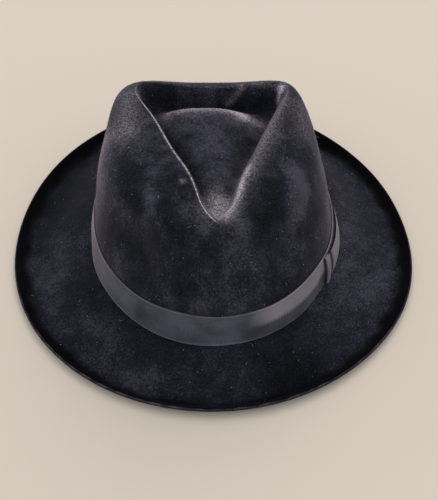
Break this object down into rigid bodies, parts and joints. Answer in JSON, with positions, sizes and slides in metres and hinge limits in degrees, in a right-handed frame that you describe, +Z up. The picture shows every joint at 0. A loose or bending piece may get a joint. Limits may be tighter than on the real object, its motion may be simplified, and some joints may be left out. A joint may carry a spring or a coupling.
{
  "type": "trilby",
  "caption": "Soft felt hat with a creased, dented crown, a short brim with a turned-up edge, a plain ribbon band and a flat side bow.",
  "frame": {"origin": "middle of the hat's width and length, on the table that its brim rests on", "axes": "+Z up, -Y towards the front of the hat, +X towards the wearer's left, where the bow is"},
  "size_m": [0.2836, 0.293, 0.1116],
  "materials": {
    "felt": "brushed velour felt",
    "ribbon": "ribbed ribbon"
  },
  "bodies": {
    "root": {"felt_body": "felt", "hat_band": "ribbon", "bow_loop": "ribbon", "bow_knot": "ribbon"}
  },
  "joints": []
}
